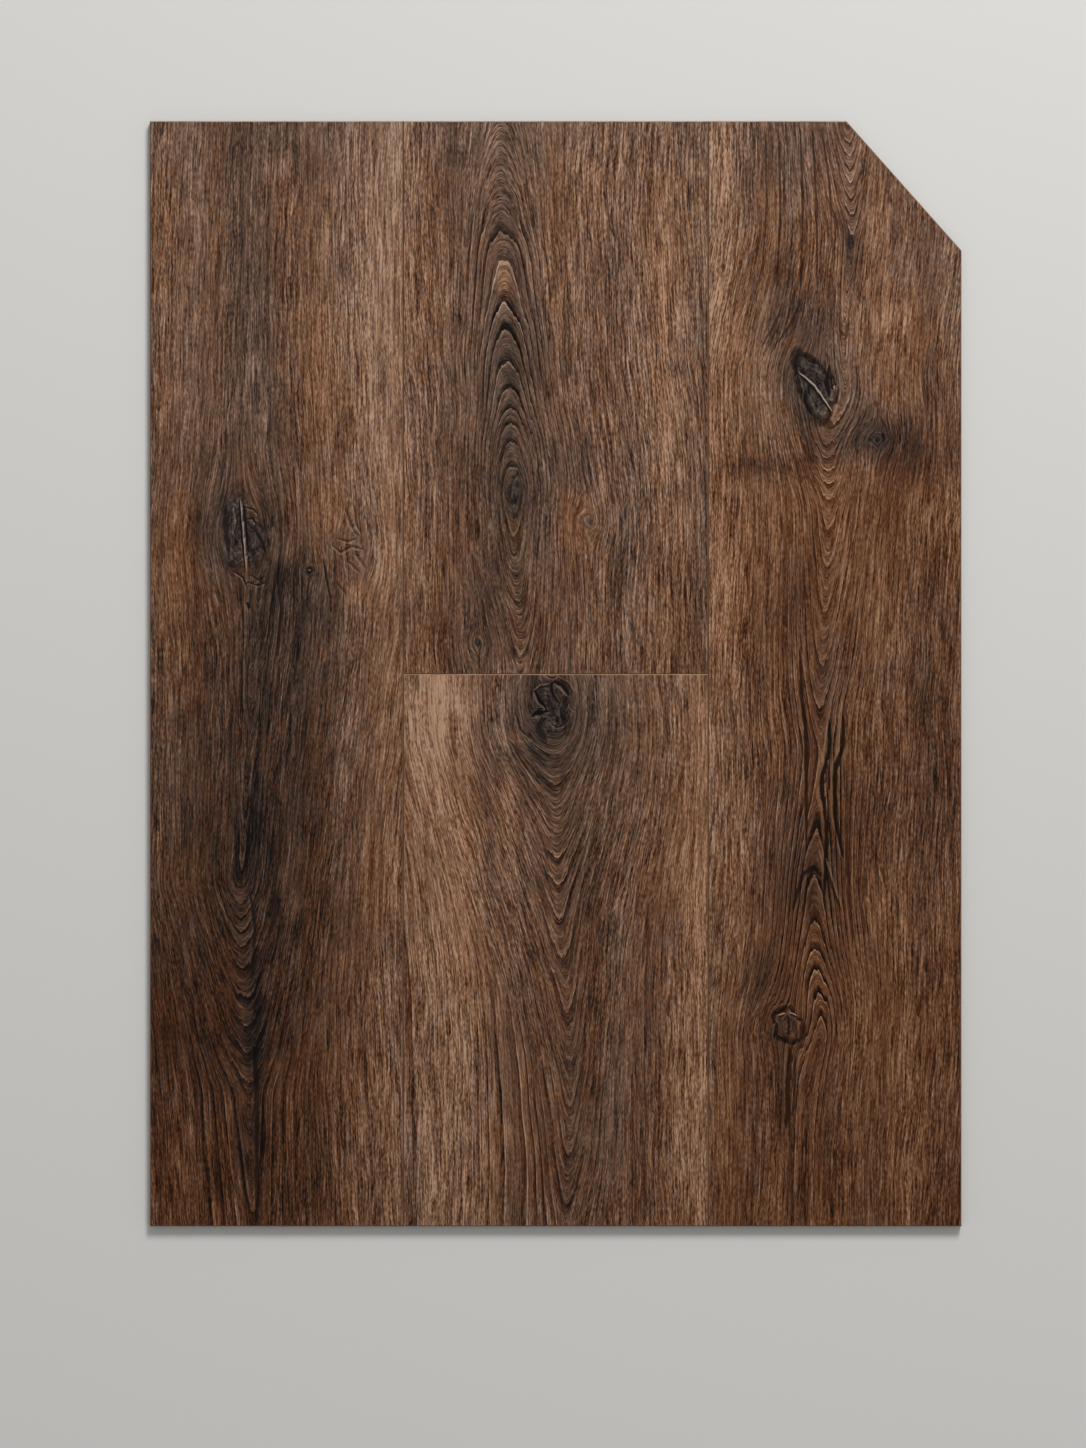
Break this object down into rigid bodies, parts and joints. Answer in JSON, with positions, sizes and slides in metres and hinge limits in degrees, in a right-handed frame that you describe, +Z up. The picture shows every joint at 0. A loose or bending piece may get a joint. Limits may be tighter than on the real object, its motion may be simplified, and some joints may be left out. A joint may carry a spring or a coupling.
{
  "type": "vinyl floor plank sample panel",
  "caption": "Flat panel of click-joined rigid vinyl floor planks with a brown oak print and embossed grain, sawn to a rectangle with one clipped corner; shows or covers a floor.",
  "frame": {"origin": "on the underside, at the centre of the panel's uncut rectangle", "axes": "+X across the planks, +Y along the planks towards the clipped corner, +Z up out of the printed face"},
  "size_m": [0.479, 0.6524, 0.005],
  "materials": {
    "oak_print_vinyl": "satin"
  },
  "bodies": {
    "root": {"left_plank": "oak_print_vinyl", "upper_middle_plank": "oak_print_vinyl", "lower_middle_plank": "oak_print_vinyl", "right_plank": "oak_print_vinyl"}
  },
  "joints": []
}
